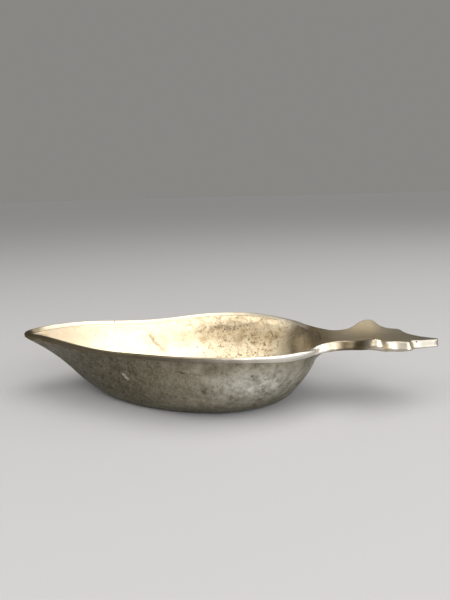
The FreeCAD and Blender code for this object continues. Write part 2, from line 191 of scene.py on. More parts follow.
def build(name, verts, faces, smooth=True):
    m = bpy.data.meshes.new(name)
    m.from_pydata([tuple(v) for v in (np.asarray(verts) * MM)], [], faces)
    m.validate()
    m.update()
    o = bpy.data.objects.new(name, m)
    bpy.context.scene.collection.objects.link(o)
    bm = bmesh.new()
    bm.from_mesh(m)
    bmesh.ops.remove_doubles(bm, verts=bm.verts, dist=1e-7)
    bmesh.ops.recalc_face_normals(bm, faces=bm.faces)
    bm.to_mesh(m)
    bm.free()
    for p in m.polygons:
        p.use_smooth = smooth
    return o



def spline_matrix(nc, n):
    """Natural cubic spline through nc evenly parametered points, sampled n times, as an (n, nc) matrix."""
    A, R = np.eye(nc), np.zeros((nc, nc))
    for i in range(1, nc - 1):
        A[i, i - 1:i + 2] = 1, 4, 1
        R[i, i - 1:i + 2] = 6, -12, 6
    M2 = np.linalg.solve(A, R)
    t = np.linspace(0, nc - 1, n)
    out = np.zeros((n, nc))
    for r, v in enumerate(t):
        k = min(int(v), nc - 2)
        b = v - k
        a = 1 - b
        out[r, k] += a
        out[r, k + 1] += b
        out[r] += ((a ** 3 - a) * M2[k] + (b ** 3 - b) * M2[k + 1]) / 6
    return out


def resample(P, u):
    """Points of each column at shares u (0..1) of its own length."""
    d = np.r_["1", np.zeros((len(P), 1)), np.cumsum(np.linalg.norm(np.diff(P, axis=1), axis=-1), axis=1)]
    out = np.empty((len(P), len(u), 3))
    for i in range(len(P)):
        for c in range(3):
            out[i, :, c] = np.interp(u * d[i, -1], d[i], P[i, :, c])
    return out


# depth of the edge below its top, and how far it stands out from the mouth's line
DEPTH = Natural([(-66, 2.3), (-58, 2.3), (-44, 2.05), (-26, 1.75), (0, 1.68), (14, 1.78), (24, 2.05), (30, 2.35),
                 (34, 2.62), (38, 2.85), (42, 3.0), (47, 3.2)])
REACH = Natural([(-66, 0.95), (-62, 1.05), (-57, 1.15), (-44, 1.05), (-26, 0.95), (0, 0.9), (20, 0.9), (30, 0.98), (34, 1.1),
                 (38, 1.25), (42, 1.42), (47, 1.5)])
depth, reach = DEPTH(px), REACH(px) + 2.6 * np.clip((px - 43.0) / 2.6, 0, 1) ** 2

# the outer wall up to where the edge starts
TF = 500
tf = np.linspace(0, 1, TF)
full = wall(tf)
tA = np.array([np.interp(top[i] - depth[i], full[i, :, 2], tf) for i in range(NS)])
NO, NR, NI = 64, 26, 72
ease = np.linspace(0, 1, NO)
ease = 1 - (1 - ease) ** 1.25                     # rows closer together near the edge
outer = np.stack([np.stack([np.interp(ease * tA[i], tf, full[i, :, c]) for c in range(3)], -1) for i in range(NS)])
A = outer[:, -1]
aA = (A[:, 0] - px) * nx + (A[:, 1] - py) * ny

# inner wall: the outer one moved in by the wall's thickness, running out at the seat's inner edge
WALL, FLOOR = 1.6, 1.9
ti = np.linspace(0, 1, 160)
w0 = wall(ti)
nn = column_normals(w0)
away = ((w0 - np.array([BASE_MID, 0, 40.0])) * nn).sum(-1)
nn *= np.sign(away)[..., None]
nn[:, 0] = (0, 0, -1)
gap = (2 * chord)[:, None]
th = np.where(ti < 0.7, WALL, WALL + (gap - WALL) * (np.maximum(ti - 0.7, 0) / 0.3) ** 2)
th = th + (FLOOR - WALL) * np.clip(1 - ti / 0.3, 0, 1)
inner = w0 - nn * th[..., None]
seat_in = np.stack([px - nx * chord, py - ny * chord, seat], -1)
w_end = np.clip((ti - 0.82) / 0.18, 0, 1) ** 2
inner = inner + (seat_in - inner[:, -1])[:, None, :] * w_end[None, :, None]
inner = resample(inner[:, ::-1], np.linspace(0, 1, NI) ** 1.2)      # seat first, floor last

# the edge's visible face, from the outer wall over the top to the seat's inner edge: a soft flare
# outside, a narrow worn top, and inside one straight run on from the wall
lipness = np.clip((-px - 28) / 26, 0, 1)
run = np.hypot(*(inner[:, 0, :2] - inner[:, 7, :2]).T)
slope = (inner[:, 0, 2] - inner[:, 7, 2]) / np.maximum(run, 1e-6)
a_top = -chord + 1.35 * r0 / np.maximum(slope, math.tan(math.radians(44)))
a_top = a_top + (-0.05 * r0 - a_top) * lipness
neck = np.clip((px - 38) / 6, 0, 1)
neck = neck * neck * (3 - 2 * neck)                   # the top rolls over into the handle there
nose = np.clip((-px - 54) / 9, 0, 1)
broad_ = reach - a_top
c_ = [(aA, -depth)]
for fa, fz, na, nz in ((0.40, -0.82, 0.55, -0.90), (0.84, -0.68, 0.92, -0.70)):
    c_.append((aA + (reach - aA) * (fa + (na - fa) * nose), depth * (fz + (nz - fz) * nose)))
c_.append((reach + 0 * nose, (-0.47 + 0.09 * nose) * depth))
c_.append((reach - 0.14 * broad_ - 0.05, (-0.26 + 0.05 * nose) * depth))
c_.append((reach - 0.42 * broad_, -0.07 * depth))
c_.append((a_top + 0.30 * broad_, 0 * r0))
c_.append((a_top + 0.05 * r0, -0.03 * r0))
c_.append((a_top - 0.19 * r0, -0.17 * r0))
c_.append(((a_top - 0.19 * r0 - chord) / 2, -0.76 * r0))
c_.append((-chord, -1.35 * r0))
C = np.stack([np.stack([px + nx * a, py + ny * a, top + z], -1) for a, z in c_], 1)
C[:, 0] = A
section = np.einsum("rc,ncd->nrd", spline_matrix(C.shape[1], NR), C)

# one visible profile per column, its corners worn round and the flare drawn out
profile = np.concatenate([outer[:, :-1], section, inner[:, 1:]], 1)
NP = profile.shape[1]
k = np.arange(NP)
wear = np.exp(-((k - (NO - 1)) / 7.0) ** 2) + 0.9 * np.exp(-((k - (NO + NR - 2)) / 6.0) ** 2) + 0.05
for _ in range(34):
    lap = (np.roll(profile, 1, 1) + np.roll(profile, -1, 1)) / 2 - profile
    lap[:, 0] = lap[:, -1] = 0
    profile = profile + 0.5 * np.minimum(wear, 1)[None, :, None] * lap
# towards the handle the inner wall and the edge's top become one broad roll
roll = np.exp(-((k - (NO + NR - 3)) / 11.0) ** 2)[None, :, None] * neck[:, None, None]
roll = roll * (k > NO + 6)[None, :, None]
for _ in range(150):
    lap = (np.roll(profile, 1, 1) + np.roll(profile, -1, 1)) / 2 - profile
    lap[:, 0] = lap[:, -1] = 0
    profile = profile + 0.5 * roll * lap
outer, section, inner = profile[:, :NO], profile[:, NO - 1:NO + NR - 1], profile[:, NO + NR - 2:]

# hidden faces between the wall and the edge: up the wall's outside, across the seat
own = np.minimum(chord, reach - 0.28)
seat_out = np.stack([px + nx * own, py + ny * own, seat], -1)
hid = np.stack([outer[:, -1] + (seat_out - outer[:, -1]) * f for f in (0.33, 0.67, 1.0)], 1)
seat_mid = (seat_out + seat_in)[:, None] / 2


def shake(P):
    """The hand-finished unevenness of the casting, the same for every piece."""
    P = np.asarray(P, float)
    s = np.stack([SLOW(P), SLOW(P + 31.0), SLOW(P - 47.0)], -1) * 0.035
    h = np.stack([HAMMER(P), HAMMER(P + 17.0), HAMMER(P - 23.0)], -1) * 0.006
    D = s + h
    D[:, 2] *= np.clip(P[:, 2] / 6, 0, 1)
    return P + D


def grid_faces(n, m, closed=True, start=0):
    i = np.arange(n if closed else n - 1)
    j = (i + 1) % n
    a, b = np.meshgrid(i, np.arange(m - 1), indexing="ij")
    c, _ = np.meshgrid(j, np.arange(m - 1), indexing="ij")
    return (start + np.stack([a * m + b, c * m + b, c * m + b + 1, a * m + b + 1], -1).reshape(-1, 4)).tolist()


def disc(loop_ids, pts, z, rings, start):
    """A flat floor inside a loop: rings shrinking to a middle point. Returns its points and faces."""
    c = np.array([BASE_MID - 2.0, 0.0])
    n = len(loop_ids)
    v, f, prev = [], [], list(loop_ids)
    for r in range(1, rings + 1):
        q = 1 - r / (rings + 1)
        cur = []
        for p in pts:
            cur.append(start + len(v))
            v.append((c[0] + (p[0] - c[0]) * q, c[1] + (p[1] - c[1]) * q, z))
        f += [(prev[i], prev[(i + 1) % n], cur[(i + 1) % n], cur[i]) for i in range(n)]
        prev = cur
    mid_id = start + len(v)
    v.append((c[0], c[1], z))
    f += [(prev[i], prev[(i + 1) % n], mid_id) for i in range(n)]
    return v, f


def bowl_mesh():
    # the whole skin column by column: outside from foot to edge, hidden seat, inside down to the floor
    P = np.concatenate([outer, hid, seat_mid, inner], 1)
    n, m = P.shape[:2]
    v = [tuple(q) for q in shake(P.reshape(-1, 3))]
    f = grid_faces(n, m)
    foot = [i * m for i in range(n)]
    flr = [i * m + m - 1 for i in range(n)]
    dv, df = disc(foot, [v[i] for i in foot], 0.0, 20, len(v))
    # the underside is a touch hollow, so that it rests on its outer band
    v += [(x, y, z + 0.22 * max(0.0, 1 - ((x - 1) / 22) ** 2 - (y / 13) ** 2)) for x, y, z in dv]
    f += df
    dv, df = disc(flr, [v[i] for i in flr], float(np.mean([v[i][2] for i in flr])), 40, len(v))
    dv = shake(np.array(dv))
    v += [tuple(q) for q in dv]
    f += df
    v = [(x, y, max(z, 0.0)) for x, y, z in v]
    o = build("bowl_body", v, f)
    return o


END_X = 30.0
share_i = np.arange(NS)
arms = np.where((px > END_X) & (share_i > NS * 0.25) & (share_i < NS * 0.75))[0]
i0, i1 = arms[0], arms[-1]


def ring_solid(name, idx, rings):
    """A solid swept through closed rings of points, capped at both ends."""
    n, m = rings.shape[:2]
    v = rings.reshape(-1, 3)
    f = []
    for i in range(n - 1):
        for k in range(m):
            f.append((i * m + k, (i + 1) * m + k, (i + 1) * m + (k + 1) % m, i * m + (k + 1) % m))
    f.append(tuple(range(m)))
    f.append(tuple(range((n - 1) * m, n * m)))
    return build(name, v, f)


OVER = 14                                             # columns over which edge and handle run into each other


def sunk(rings, f):
    """Each ring drawn towards its own middle by its share f."""
    cen = rings.mean(1, keepdims=True)
    return rings + (cen - rings) * f[:, None, None]


def rim_wire_mesh():
    idx = np.r_[np.arange(i1 - OVER, NS), np.arange(0, i0 + 1 + OVER)]
    rings = np.concatenate([section[idx], seat_mid[idx], hid[idx][:, ::-1]], 1)
    f = np.zeros(len(idx))
    f[:OVER] = np.linspace(0.16, 0.0, OVER)
    f[-OVER:] = np.linspace(0.0, 0.16, OVER)
    rings = sunk(rings, f)
    sh = shake(rings.reshape(-1, 3)).reshape(rings.shape)
    return ring_solid("rim_edge", idx, sh)


# ------------------------------------------------------------------ the handle
FAR = [(105.6, 19.3), (107.2, 17.6), (108.9, 15.5), (110.7, 13.2), (112.4, 11.3), (114, 9.9), (115.5, 8.8), (117, 8.2), (118.7, 8.1),
       (120.5, 8.35), (122.2, 9.05), (124, 10.45), (126, 12.7), (127.6, 14.0), (129.2, 14.7), (130.7, 14.75),
       (132.0, 14.1), (133.1, 12.3), (134.3, 10.6), (135.6, 9.55), (137, 9.0), (138.6, 8.75), (140.0, 8.6),
       (140.8, 8.1), (141.6, 6.7), (142.2, 5.55), (143.2, 4.6), (144.8, 3.5), (147, 2.45), (149.3, 1.6),
       (150.9, 1.1), (151.7, 0.75), (152, 0.0)]
NEAR = [(105.6, 19.3), (107.2, 17.6), (108.9, 15.6), (110.7, 13.4), (112.5, 11.5), (114, 10.2), (115.5, 9.1), (117, 8.3), (118.7, 8.0),
        (120.5, 8.2), (122.2, 8.9), (124, 10.7), (126, 13.2), (127.6, 14.6), (129.2, 15.1), (130.7, 14.9),
        (132.0, 13.7), (133.1, 12.1), (134.3, 11.0), (135.6, 10.45), (137, 10.5), (138.6, 10.8), (140.2, 10.9),
        (141.2, 10.2), (141.8, 8.2), (142.3, 6.3), (143.2, 5.3), (144.8, 4.8), (147, 3.8), (149.3, 2.7),
        (150.9, 1.8), (151.7, 1.1), (152, 0.0)]
CREST = shifted([(106, 22.4), (112, 22.35), (116, 22.1), (120, 22.1), (125, 22.3), (130, 22.5), (136, 22.4),
                 (142, 22.25), (148, 22.05), (154, 21.85)])
DISH = shifted([(x, k * 0.0125) for x, k in [(106, 0.0), (111, 0.05), (114, 0.35), (118, 0.8), (122, 1.0),
                                             (128, 1.0), (140, 1.0), (154, 1.0)]])
THICK = shifted([(104, 1.7), (107, 2.0), (110, 2.7), (113, 3.2), (117, 3.35), (124, 3.3), (134, 3.3), (140, 3.15), (144, 2.9), (149, 2.55), (156, 2.4)])
# the near lobes are cast a little fuller and stand a little off the far ones' level
LIFT = shifted([(118, 0), (122, 0), (125, 0.15), (127.6, 0.35), (129.6, 0.25), (131.5, 0), (134, -0.15), (137, -0.15),
                (140, -0.1), (142, 0), (146, 0), (152, 0)])
FULL = shifted([(118, 0), (124, 0.05), (127, 0.25), (129.5, 0.35), (132, 0.25), (135, 0.15), (137.5, 0.15), (139.5, 0.0),
                (142, 0), (146, -0.05), (152, -0.1)])


def outline(edge, step=0.22, count=None):
    E = np.array([(x - LIP, y) for x, y in edge])
    d = np.r_[0, np.cumsum(np.hypot(*np.diff(E, axis=0).T))]
    fx, fy = Natural(list(zip(d, E[:, 0]))), Natural(list(zip(d, E[:, 1])))
    u = np.linspace(0, d[-1], count or int(d[-1] / step))
    x, y = fx(u), np.maximum(fy(u), 0.0)
    x = np.minimum(np.maximum.accumulate(x + np.arange(len(x)) * 1e-5), 85.95)
    tx, ty = np.gradient(x), np.gradient(y)
    q = np.hypot(tx, ty)
    return x, y, -ty / q, tx / q       # outward normal on the +Y side


MX = np.array([q[0] for q in MOUTH])
MY = np.array([q[1] for q in MOUTH])


def rounding(r, low):
    turn = np.linspace(0, np.pi / 2, 6) if not low else np.linspace(np.pi / 2, 0, 6)
    return [(r * (1 - np.sin(a)), r * (1 - np.cos(a)), low) for a in turn]


def plate_mesh(name):
    # (inset, drop, below) steps from the top face's edge round to the underside's: rounded on the
    # far side, and on the near side a filed bevel with a crisper top edge
    far_steps = rounding(0.75, 0)[:3] + [(0.2, 0.32, 0), (0.08, 0.5, 0), (0, 0.8, 0), (0, 1.4, 0)] + rounding(0.95, 1)
    near_steps = [(1.55, 0.0, 0), (1.38, 0.03, 0), (1.20, 0.15, 0), (0.98, 0.55, 0), (0.74, 1.10, 0), (0.50, 1.65, 0),
                  (0.27, 2.15, 0), (0.10, 2.50, 0)] + rounding(0.45, 1)[1:]
    sel = np.argsort(MY[MX > 30])
    my, mx = MY[MX > 30][sel], MX[MX > 30][sel]
    n = 330
    sides = [(1, outline(FAR, count=n), far_steps), (-1, outline(NEAR, count=n), near_steps)]

    def place(x, y, drop, low):
        x = np.maximum(x, np.interp(np.abs(y), my, mx))
        near = np.where(y < 0, np.clip(np.abs(y) / 9, 0, 1.2) ** 2, 0)
        t = THICK(x) + FULL(x) * near
        z = CREST(x) + DISH(x) * y * y + LIFT(x) * near - np.where(low, t - drop, drop)
        return np.stack([x, y, z], -1)
    across = 30
    v, f = [], []
    loops = []
    for sgn, (ex, ey, enx, eny), steps in sides:
        slim = np.clip(ey / 2.4, 0.3, 1.0) * np.clip((ex + LIP - 103.5) / 9.5, 0.25, 1.0)
        loops.append([(ex - enx * i * slim, sgn * np.maximum(ey - eny * i * slim, 0), drop, low)
                      for i, drop, low in steps])
    s = np.linspace(0, 1, across)

    def sheet(a, b):
        start = len(v)
        for i in range(n):
            v.extend(place(a[0][i] + (b[0][i] - a[0][i]) * s, a[1][i] + (b[1][i] - a[1][i]) * s, a[2], a[3]).tolist())
        for i in range(n - 1):
            for k in range(across - 1):
                p, q = start + i * across + k, start + (i + 1) * across + k
                f.append((p, q, q + 1, p + 1) if a[3] else (p + 1, q + 1, q, p))
    sheet(loops[0][0], loops[1][0])
    sheet(loops[0][-1], loops[1][-1])
    for side, sgn in ((loops[0], 1), (loops[1], -1)):
        start = len(v)
        for x, y, drop, low in side:
            v.extend(place(x, y, drop, low).tolist())
        for j in range(len(side) - 1):
            for i in range(n - 1):
                a, b = start + j * n + i, start + (j + 1) * n + i
                f.append((a, a + 1, b + 1, b) if sgn > 0 else (a + 1, a, b, b + 1))
    # root end: a plain wall under the shoulders
    start = len(v)
    for lf, ln in zip(loops[0], loops[1]):
        v.extend(place(lf[0][0] + (ln[0][0] - lf[0][0]) * s, lf[1][0] + (ln[1][0] - lf[1][0]) * s, lf[2], lf[3]).tolist())
    for j in range(len(loops[0]) - 1):
        for k in range(across - 1):
            a, b = start + j * across + k, start + (j + 1) * across + k
            f.append((a, a + 1, b + 1, b))
    return build(name, v, f)


def join(name, objs):
    bm = bmesh.new()
    for o in objs:
        bm.from_mesh(o.data)
    m = bpy.data.meshes.new(name)
    bm.to_mesh(m)
    bm.free()
    for o in objs:
        bpy.data.objects.remove(o)
    out = bpy.data.objects.new(name, m)
    bpy.context.scene.collection.objects.link(out)
    return out


def applied(obj, kind, **settings):
    """Applies one modifier and keeps its result."""
    md = obj.modifiers.new(kind.lower(), kind)
    for key, val in settings.items():
        setattr(md, key, val)
    dg = bpy.context.evaluated_depsgraph_get()
    m = bpy.data.meshes.new_from_object(obj.evaluated_get(dg))
    obj.modifiers.clear()
    old = obj.data
    obj.data = m
    bpy.data.meshes.remove(old)
    return obj


def points(obj):
    c = np.empty(len(obj.data.vertices) * 3)
    obj.data.vertices.foreach_get("co", c)
    return c.reshape(-1, 3) / MM


def set_points(obj, P):
    obj.data.vertices.foreach_set("co", (np.asarray(P) * MM).ravel())
    obj.data.update()


def smooth_points(obj, rounds, lam=0.5, mu=-0.51, where=None):
    """Taubin smoothing: rounds off the joints without shrinking the form."""
    P = points(obj)
    e = np.empty(len(obj.data.edges) * 2, int)
    obj.data.edges.foreach_get("vertices", e)
    e = e.reshape(-1, 2)
    deg = np.bincount(e.ravel(), minlength=len(P))[:, None]
    for r in range(rounds):
        for f in (lam, mu):
            S = np.zeros_like(P)
            for c in range(3):
                S[:, c] = (np.bincount(e[:, 0], P[e[:, 1], c], len(P)) + np.bincount(e[:, 1], P[e[:, 0], c], len(P)))
            L = S / deg - P
            P = P + f * L * (1 if where is None else where(P)[:, None])
    set_points(obj, P)


def handle_mesh():
    idx = np.arange(i0 - OVER, i1 + OVER + 1)
    O, I = outer[idx], inner[idx]
    dive = [O[:, -1 - q] + (I[:, 2 + q] - O[:, -1 - q]) * w for q, w in ((9, 0.50), (5, 0.22), (2, 0.06))]
    back = [I[:, q] + (O[:, -1 - q] - I[:, q]) * w for q, w in ((2, 0.06), (5, 0.22), (9, 0.42))]
    rings = np.stack(dive + [section[idx][:, r] for r in range(NR)] + back, 1)
    f = np.zeros(len(idx))
    f[:OVER] = np.linspace(0.16, 0.0, OVER)
    f[-OVER:] = np.linspace(0.0, 0.16, OVER)
    arms_o = ring_solid("arms", idx, sunk(rings, f))
    plate_o = plate_mesh("plate")
    h = join("handle_cast", [arms_o, plate_o])
    applied(h, "REMESH", mode="VOXEL", voxel_size=0.2 * MM, adaptivity=0.0)
    smooth_points(h, 10)
    smooth_points(h, 130, where=lambda P: np.exp(-((P[:, 0] - 45.5) / 5.5) ** 2 - ((np.abs(P[:, 1]) - 12.8) / 4.5) ** 2))
    P = points(h)
    set_points(h, shake(P))
    for p in h.data.polygons:
        p.use_smooth = True
    return h


def solder_mesh():
    # a hollow-faced run from the wall out to the underside of the neck, dying out along the shoulders
    idx = np.where((px > 34) & (np.abs(py) < 18.6))[0]
    ay = np.abs(py[idx])
    fade = np.clip((18.8 - ay) / 3.5, 0.08, 1)
    drop = (0.7 + 3.0 * (1 - soft(ay, 4, 17))) * fade
    leg = (0.45 + 3.7 * (1 - soft(ay, 5.0, 14))) * fade
    rows = []
    for i, dr, lg in zip(idx, drop, leg):
        def on_wall(z):
            return np.array([np.interp(z, full[i, :, 2], full[i, :, c]) for c in range(3)])
        under = float(CREST(px[i] + 1) + DISH(px[i] + 1) * py[i] ** 2 - THICK(px[i] + 1))
        out = np.array([nx[i], ny[i], 0.0])
        corner, toe = on_wall(under), on_wall(under - dr)
        heel = corner + out * lg
        heel[2] = under + 0.12
        ctl = corner + out * 0.22 * lg + np.array([0, 0, -0.22 * dr])
        t = np.linspace(0, 1, 9)[:, None]
        face = toe * (1 - t) ** 2 + 2 * ctl * t * (1 - t) + heel * t * t
        rows.append(np.vstack([toe - out * 0.5, face, heel + (0, 0, 0.5), corner - out * 0.6 + (0, 0, 0.5)]))
    o = ring_solid("neck_solder", idx, np.array(rows))
    applied(o, "REMESH", mode="VOXEL", voxel_size=0.2 * MM, adaptivity=0.0)
    smooth_points(o, 10)
    set_points(o, shake(points(o)))
    for p in o.data.polygons:
        p.use_smooth = True
    return o


bowl_o = bowl_mesh()
rim_o = rim_wire_mesh()
handle_o = handle_mesh()
solder_o = solder_mesh()


# ------------------------------------------------------------------ worn pewter, with painted highlights and painted shade
def node(nt, kind, **kw):
    n = nt.nodes.new(kind)
    for key, val in kw.items():
        if key in n.inputs:
            n.inputs[key].default_value = val
        else:
            setattr(n, key, val)
    return n


def noise(nt, co, scale, detail=4.0, rough=0.55, distortion=0.0):
    n = node(nt, "ShaderNodeTexNoise")
    n.inputs["Scale"].default_value = scale
    n.inputs["Detail"].default_value = detail
    n.inputs["Roughness"].default_value = rough
    n.inputs["Distortion"].default_value = distortion
    nt.links.new(co, n.inputs["Vector"])
    return n.outputs["Fac"]


def ramp(nt, src, lo, hi, out_lo=0.0, out_hi=1.0):
    n = nt.nodes.new("ShaderNodeMapRange")
    n.inputs["From Min"].default_value = lo
    n.inputs["From Max"].default_value = hi
    n.inputs["To Min"].default_value = out_lo
    n.inputs["To Max"].default_value = out_hi
    nt.links.new(src, n.inputs["Value"])
    return n.outputs["Result"]


def mix(nt, fac, a, b):
    n = nt.nodes.new("ShaderNodeMix")
    n.data_type = "RGBA"
    if isinstance(fac, (int, float)):
        n.inputs[0].default_value = fac
    else:
        nt.links.new(fac, n.inputs[0])
    for k, c in ((6, a), (7, b)):
        if isinstance(c, tuple):
            n.inputs[k].default_value = c + (1.0,)
        else:
            nt.links.new(c, n.inputs[k])
    return n.outputs[2]


def calc(nt, op, a, b=None, clamp=False):
    n = nt.nodes.new("ShaderNodeMath")
    n.operation = op
    n.use_clamp = clamp
    for k, q in ((0, a), (1, b)):
        if q is None:
            continue
        if isinstance(q, (int, float)):
            n.inputs[k].default_value = q
        else:
            nt.links.new(q, n.inputs[k])
    return n.outputs[0]


def attribute(nt, name):
    n = nt.nodes.new("ShaderNodeAttribute")
    n.attribute_name = name
    return n.outputs["Fac"]


def stretched(nt, co, scale, turn):
    n = nt.nodes.new("ShaderNodeMapping")
    n.inputs["Scale"].default_value = scale
    n.inputs["Rotation"].default_value = turn
    nt.links.new(co, n.inputs["Vector"])
    return n.outputs[0]


def times(nt, *src):
    out = src[0]
    for q in src[1:]:
        out = calc(nt, "MULTIPLY", out, q)
    return out


def pewter(name, clean, dull, dark, rough=(0.30, 0.50), speck=0.5, drift=0.6, marks=False, root=False, lip=False,
           rim_tint=(1.0, 1.0, 1.0)):
    """Cast pewter: tone drifting over the piece, fine low mottling, patina, pinholes, specks and scratches; with lip,
    root or marks set, also painted highlights and painted shade.
    """
    m = bpy.data.materials.new(name)
    m.use_nodes = True
    nt = m.node_tree
    nt.nodes.clear()
    out = nt.nodes.new("ShaderNodeOutputMaterial")
    sh = nt.nodes.new("ShaderNodeBsdfPrincipled")
    nt.links.new(sh.outputs[0], out.inputs[0])
    sh.inputs["Metallic"].default_value = 1.0
    sh.inputs["Specular Tint"].default_value = rim_tint + (1.0,)
    co = nt.nodes.new("ShaderNodeTexCoord").outputs["Object"]
    broad = noise(nt, co, 45, 3, 0.5)
    blotch = noise(nt, co, 170, 6, 0.62, 0.4)
    mottle = noise(nt, co, 520, 7, 0.66, 0.2)
    grain = noise(nt, co, 1600, 4, 0.6)
    fine = noise(nt, co, 4200, 3, 0.5)
    # handling scratches in two directions, where the tone drifts clean
    scr = noise(nt, stretched(nt, co, (90, 1700, 1700), (0.2, 0.15, 0.35)), 1.0, 2, 0.5, 0.2)
    scr2 = noise(nt, stretched(nt, co, (1500, 110, 1500), (0.1, -0.2, -0.5)), 1.0, 2, 0.5, 0.2)
    scratch = calc(nt, "MAXIMUM", ramp(nt, scr, 0.67, 0.74), ramp(nt, scr2, 0.68, 0.75))
    # pinholes of the casting
    vo = nt.nodes.new("ShaderNodeTexVoronoi")
    vo.inputs["Scale"].default_value = 330
    nt.links.new(co, vo.inputs["Vector"])
    some = ramp(nt, noise(nt, co, 150, 2, 0.5), 0.57, 0.66)
    pin = times(nt, ramp(nt, vo.outputs["Distance"], 0.15, 0.06), some)
    # tones
    tone = calc(nt, "ADD", calc(nt, "ADD", times(nt, mottle, 0.45), times(nt, blotch, 0.33)), times(nt, grain, 0.22))
    col = mix(nt, ramp(nt, tone, 0.40, 0.60), clean, dull)
    patina = times(nt, ramp(nt, calc(nt, "ADD", times(nt, broad, drift), times(nt, blotch, 1.15 - drift)), 0.57, 0.76), 0.65)
    col = mix(nt, patina, col, dark)
    sp = times(nt, ramp(nt, calc(nt, "ADD", times(nt, grain, 0.6), times(nt, mottle, 0.4)), 0.56, 0.66),
               ramp(nt, blotch, 0.40, 0.62), speck)
    col = mix(nt, sp, col, tuple(c * 0.5 for c in dark))
    rgh = ramp(nt, calc(nt, "ADD", times(nt, tone, 0.7), times(nt, grain, 0.3)), 0.36, 0.64, rough[0], rough[1])
    hgt = calc(nt, "ADD", times(nt, mottle, 0.34), times(nt, grain, 0.24))
    if lip:
        # edge: a painted highlight on the near side's outward faces, a cream painted highlight on the top and inner
        # faces towards the lip, and painted shade on the outward faces towards the lip
        col = mix(nt, times(nt, attribute(nt, "painted_highlight"), 0.85), col, (0.88, 0.86, 0.80))
        col = mix(nt, times(nt, attribute(nt, "cream"), 0.85), col, (0.80, 0.72, 0.56))
        col = mix(nt, times(nt, attribute(nt, "outer_shade"), 0.85), col, (0.085, 0.070, 0.042))
    if root:
        # painted shade darkening the handle's root where it meets the bowl
        shade = calc(nt, "MULTIPLY", attribute(nt, "root"), ramp(nt, tone, 0.30, 0.55, 1.0, 0.75), True)
        col = mix(nt, times(nt, shade, 0.85), col, (0.20, 0.160, 0.100))
        # a gold painted highlight on the top of the far lobe
        col = mix(nt, times(nt, attribute(nt, "gold_highlight"), 1.0), col, (0.99, 0.85, 0.61))
        # a painted highlight on the near side faces of the shoulder and neck
        col = mix(nt, times(nt, attribute(nt, "painted_highlight"), 0.85), col, (0.88, 0.86, 0.80))
        col = mix(nt, times(nt, attribute(nt, "tip"), 0.85), col, (0.36, 0.35, 0.32))
        # painted shade in the recess between the neck and the first lobe
        col = mix(nt, times(nt, attribute(nt, "recess_shade"), ramp(nt, tone, 0.30, 0.55, 1.0, 0.8)), col, (0.13, 0.098, 0.052))
        # a small pale spot on the top of the neck
        col = mix(nt, attribute(nt, "pale_speck"), col, (0.86, 0.82, 0.72))
        col = mix(nt, attribute(nt, "cut"), col, (0.06, 0.05, 0.035))
    if marks:
        ins, grey = attribute(nt, "inside"), attribute(nt, "grey")
        outer_shade_mask, pale, scar = attribute(nt, "outer_shade"), attribute(nt, "pale"), attribute(nt, "scar")
        # outside: olive painted shade towards the lip and low by the foot, a pale painted reflection patch with a few
        # rubbed spots, a few scars
        col = mix(nt, times(nt, outer_shade_mask, 0.92), col,
                  mix(nt, ramp(nt, calc(nt, "ADD", times(nt, mottle, 0.5), times(nt, grain, 0.5)), 0.42, 0.58), OLIVE, MOSS))
        col = mix(nt, times(nt, pale, ramp(nt, tone, 0.62, 0.40), 0.92), col, PALE)
        col = mix(nt, calc(nt, "MULTIPLY", attribute(nt, "spot"), ramp(nt, grain, 0.62, 0.45), True), col, (0.90, 0.86, 0.72))
        ragged = calc(nt, "MULTIPLY", scar, ramp(nt, grain, 0.38, 0.55, 0.3, 1.0), True)
        col = mix(nt, ragged, col, (0.045, 0.040, 0.028))
        # inside: cream metal, its warm tint lightened into a painted highlight, with tan bloom, brown specks of
        # several sizes and stains, and greyer towards the handle end, partly greyer metal and partly painted shade
        icol = mix(nt, ramp(nt, tone, 0.38, 0.62), CREAM, STRAW)
        icol = mix(nt, times(nt, attribute(nt, "mouthward"), 0.92), icol, (0.41, 0.345, 0.265))
        tan_ = attribute(nt, "tan")
        bloom = calc(nt, "MULTIPLY", calc(nt, "ADD", tan_, 0.24),
                     ramp(nt, noise(nt, co, 240, 8, 0.72, 0.6), 0.46, 0.62), True)
        icol = mix(nt, times(nt, bloom, 0.85), icol, TAN)
        fleck = ramp(nt, noise(nt, co, 620, 9, 0.78, 0.3), 0.515, 0.58)
        crumb = ramp(nt, noise(nt, co, 1500, 6, 0.75), 0.56, 0.63)
        cloud = ramp(nt, noise(nt, co, 190, 5, 0.6), 0.36, 0.58)
        spk = attribute(nt, "speckled")
        fl = calc(nt, "MULTIPLY", calc(nt, "MAXIMUM", times(nt, fleck, cloud), times(nt, crumb, 0.7)), spk, True)
        icol = mix(nt, times(nt, fl, 0.90), icol, BROWN)
